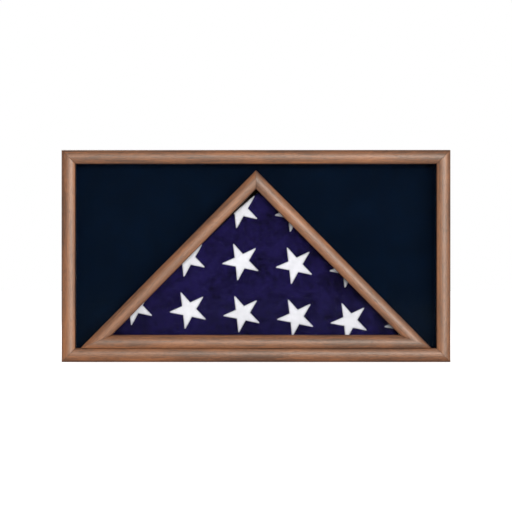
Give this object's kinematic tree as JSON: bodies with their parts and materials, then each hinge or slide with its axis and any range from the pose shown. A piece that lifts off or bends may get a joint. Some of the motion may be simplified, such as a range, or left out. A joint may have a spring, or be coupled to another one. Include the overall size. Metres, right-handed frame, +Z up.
{
  "type": "folded flag display case",
  "caption": "Glazed wooden wall or shelf case with a triangular compartment for a folded flag, velvet medal spaces beside it and a removable back held by turn buttons.",
  "frame": {"origin": "bottom centre of the bounding box", "axes": "+Z up, +X to the right as seen from the front, the glazed face looks along -Y"},
  "size_m": [0.5588, 0.0935, 0.3048],
  "materials": {
    "rail_wood": "stained and satin lacquered",
    "case_wood": "stained and satin lacquered",
    "divider_wood": "dark stained",
    "glass": "clear, polished",
    "velvet": "short pile velvet",
    "board_wood": "sanded, bare",
    "panel_board": "smooth hardboard",
    "flag_cloth": "woven cotton",
    "plated_steel": "brass plated",
    "bumper_rubber": "matte",
    "brass": "satin"
  },
  "bodies": {
    "case": {"frame_top_rail": "rail_wood", "frame_bottom_rail": "rail_wood", "frame_left_stile": "rail_wood", "frame_right_stile": "rail_wood", "triangle_left_rail": "rail_wood", "triangle_right_rail": "rail_wood", "triangle_base_rail": "rail_wood", "front_glass": "glass", "case_top_board": "case_wood", "case_bottom_board": "case_wood", "case_left_board": "case_wood", "case_right_board": "case_wood", "flag_divider_left": "divider_wood", "flag_divider_right": "divider_wood", "flag_shelf": "divider_wood", "wall_lining_top": "velvet", "wall_lining_left": "velvet", "wall_lining_right": "velvet", "divider_lining_left": "velvet", "divider_lining_right": "velvet", "turn_button_screws": "plated_steel", "hanger_strap_left": "plated_steel", "hanger_strap_right": "plated_steel", "hanger_screws": "plated_steel", "wall_bumper_left": "bumper_rubber", "wall_bumper_right": "bumper_rubber"},
    "back": {"back_panel": "panel_board", "panel_screws": "plated_steel", "spacer_side_left": "board_wood", "spacer_side_right": "board_wood", "spacer_top_left": "board_wood", "spacer_top_right": "board_wood", "medal_board_left": "board_wood", "medal_board_right": "board_wood", "medal_velvet_left": "velvet", "medal_velvet_right": "velvet"},
    "flag": {"folded_flag": "flag_cloth"},
    "button_top_left": {"turn_button_top_left": "brass"},
    "button_top_right": {"turn_button_top_right": "brass"},
    "button_bottom_left": {"turn_button_bottom_left": "brass"},
    "button_bottom_right": {"turn_button_bottom_right": "brass"},
    "button_left": {"turn_button_left": "brass"},
    "button_right": {"turn_button_right": "brass"},
    "ring_left": {"hanger_ring_left": "plated_steel"},
    "ring_right": {"hanger_ring_right": "plated_steel"}
  },
  "joints": [
    {"name": "back_slide", "type": "slide", "parent": "case", "child": "back", "axis": [0, 1, 0], "range_m": [0, 0.18]},
    {"name": "flag_slide", "type": "slide", "parent": "case", "child": "flag", "axis": [0, 1, 0], "range_m": [0, 0.09]},
    {"name": "button_top_left_turn", "type": "hinge", "parent": "case", "child": "button_top_left", "pos_m": [-0.15, 0.0433, 0.2983], "axis": [0, 1, 0], "range_deg": [0, 90]},
    {"name": "button_top_right_turn", "type": "hinge", "parent": "case", "child": "button_top_right", "pos_m": [0.15, 0.0433, 0.2983], "axis": [0, 1, 0], "range_deg": [0, 90]},
    {"name": "button_bottom_left_turn", "type": "hinge", "parent": "case", "child": "button_bottom_left", "pos_m": [-0.15, 0.0433, 0.0065], "axis": [0, 1, 0], "range_deg": [0, 90]},
    {"name": "button_bottom_right_turn", "type": "hinge", "parent": "case", "child": "button_bottom_right", "pos_m": [0.15, 0.0433, 0.0065], "axis": [0, 1, 0], "range_deg": [0, 90]},
    {"name": "button_left_turn", "type": "hinge", "parent": "case", "child": "button_left", "pos_m": [-0.2729, 0.0433, 0.1524], "axis": [0, 1, 0], "range_deg": [0, 90]},
    {"name": "button_right_turn", "type": "hinge", "parent": "case", "child": "button_right", "pos_m": [0.2729, 0.0433, 0.1524], "axis": [0, 1, 0], "range_deg": [0, 90]},
    {"name": "ring_left_swing", "type": "hinge", "parent": "case", "child": "ring_left", "pos_m": [-0.2729, 0.0445, 0.246], "axis": [1, 0, 0], "range_deg": [0, 170]},
    {"name": "ring_right_swing", "type": "hinge", "parent": "case", "child": "ring_right", "pos_m": [0.2729, 0.0445, 0.246], "axis": [1, 0, 0], "range_deg": [0, 170]}
  ],
  "couplings": [
    {"joint": "flag_slide", "follows": "back_slide", "ratio": 0.5}
  ]
}
